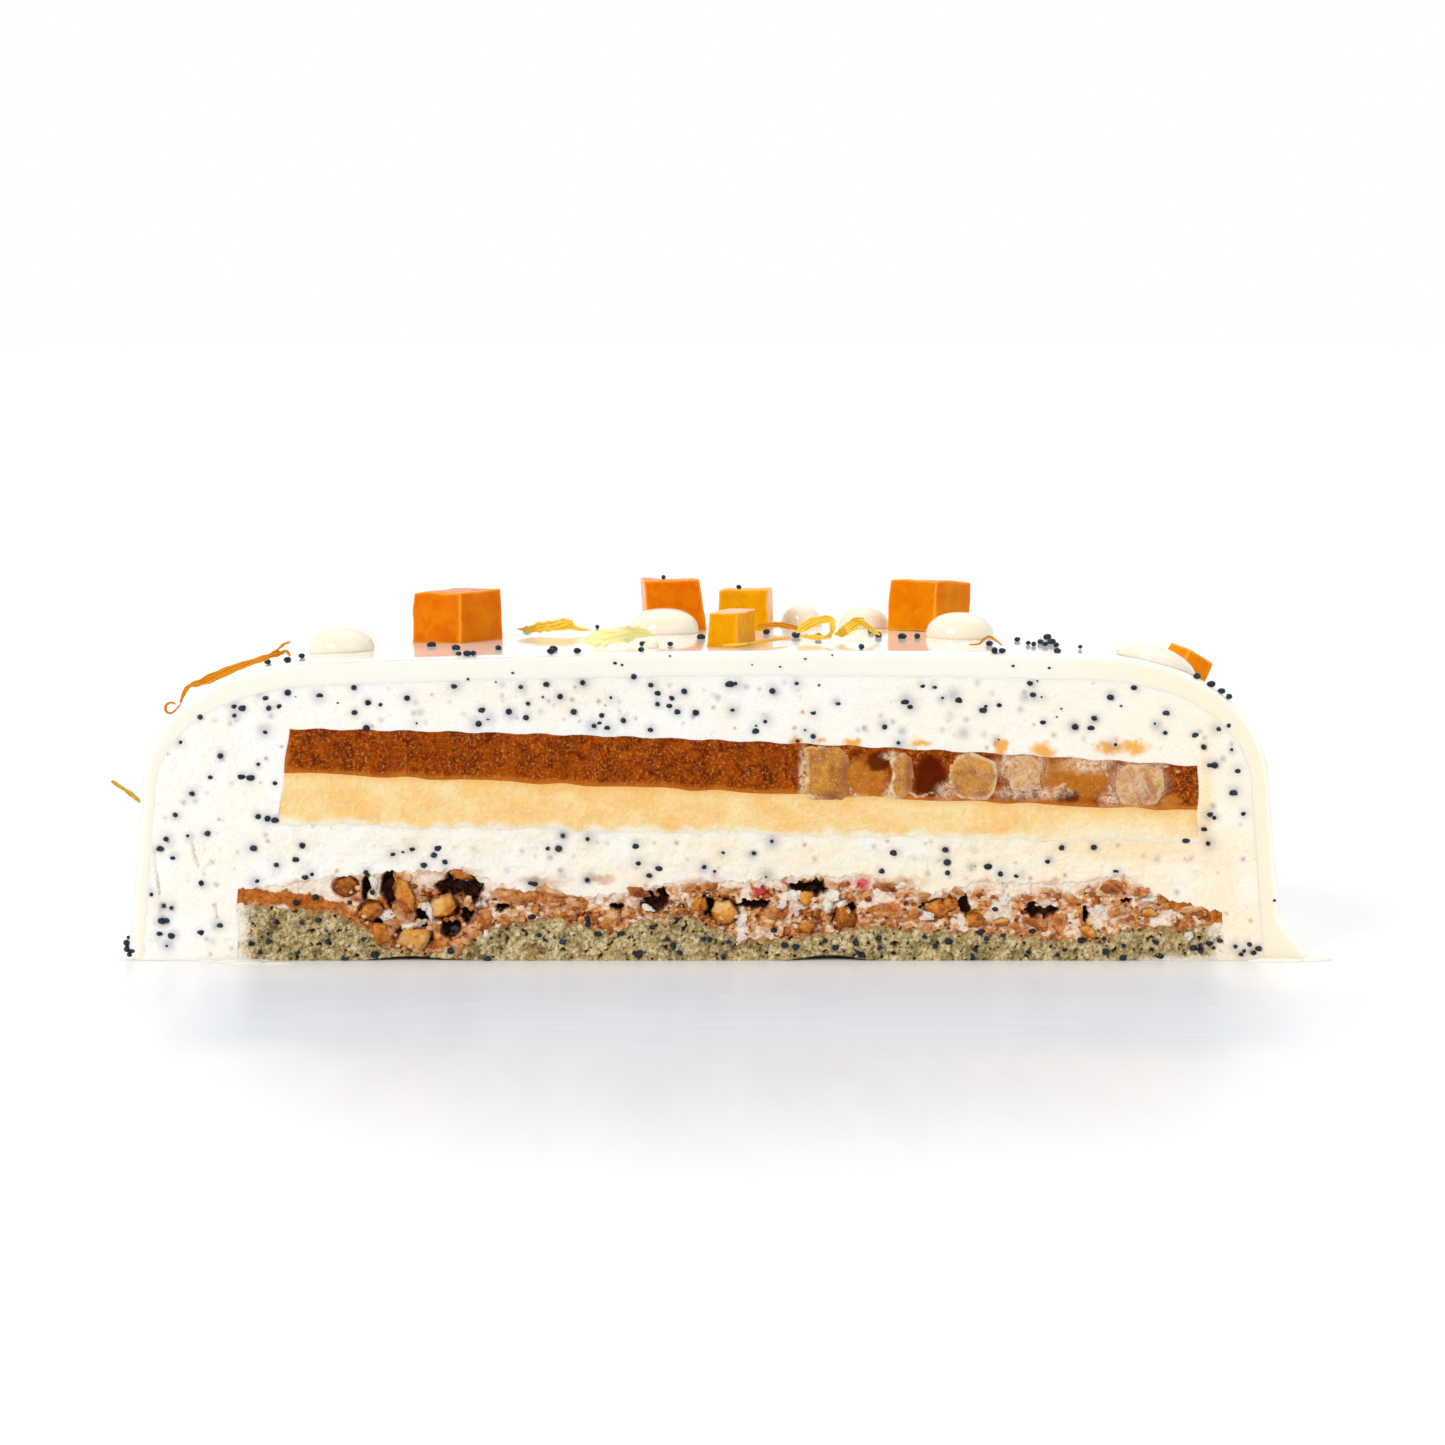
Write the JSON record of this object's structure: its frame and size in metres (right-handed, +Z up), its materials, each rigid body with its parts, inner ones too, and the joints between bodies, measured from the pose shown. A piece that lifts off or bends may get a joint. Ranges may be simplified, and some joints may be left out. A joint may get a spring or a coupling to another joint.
{
  "type": "poppy seed apricot cake",
  "caption": "Half of a round glazed cake, cut through the middle: poppy seed mousse, apricot jelly and cream, almond crunch and sponge, with jelly dice, clear drops and dried petals on top.",
  "frame": {"origin": "on the underside of the sponge, below the middle of the half cake: on the whole cake's middle plane and 45 mm behind the cut face", "axes": "+X runs along the cut to the viewer's right, +Y away from the cut face, +Z up; the cut face looks along -Y"},
  "size_m": [0.1938, 0.0925, 0.057],
  "materials": {
    "glaze": "glossy white glaze",
    "mousse": "soft aerated cream with dark poppy seeds",
    "jelly": "moist brown jelly",
    "cream": "smooth cream",
    "crunch": "rough, with broken almonds and caramel",
    "sponge": "open crumb",
    "fruit": "moist, half clear",
    "die": "glossy half clear jelly",
    "drop": "clear glossy glaze",
    "petal": "dried petal"
  },
  "bodies": {
    "root": {"glaze": "glaze", "mousse": "mousse", "apricot_jelly": "jelly", "apricot_cream": "cream", "nut_crunch": "crunch", "sponge": "sponge", "fruit_piece_1": "fruit", "fruit_piece_2": "fruit", "fruit_piece_3": "fruit", "fruit_piece_4": "fruit", "fruit_piece_5": "fruit", "jelly_die_1": "die", "jelly_die_2": "die", "jelly_die_3": "die", "jelly_die_4": "die", "jelly_die_5": "die", "jelly_die_6": "die", "glaze_drop_1": "drop", "glaze_drop_2": "drop", "glaze_drop_3": "drop", "glaze_drop_4": "drop", "glaze_drop_5": "drop", "glaze_drop_6": "drop", "petal_1": "petal", "petal_2": "petal", "petal_3": "petal", "petal_4": "petal", "petal_5": "petal", "petal_6": "petal", "petal_7": "petal", "petal_8": "petal", "petal_9": "petal"}
  },
  "joints": []
}
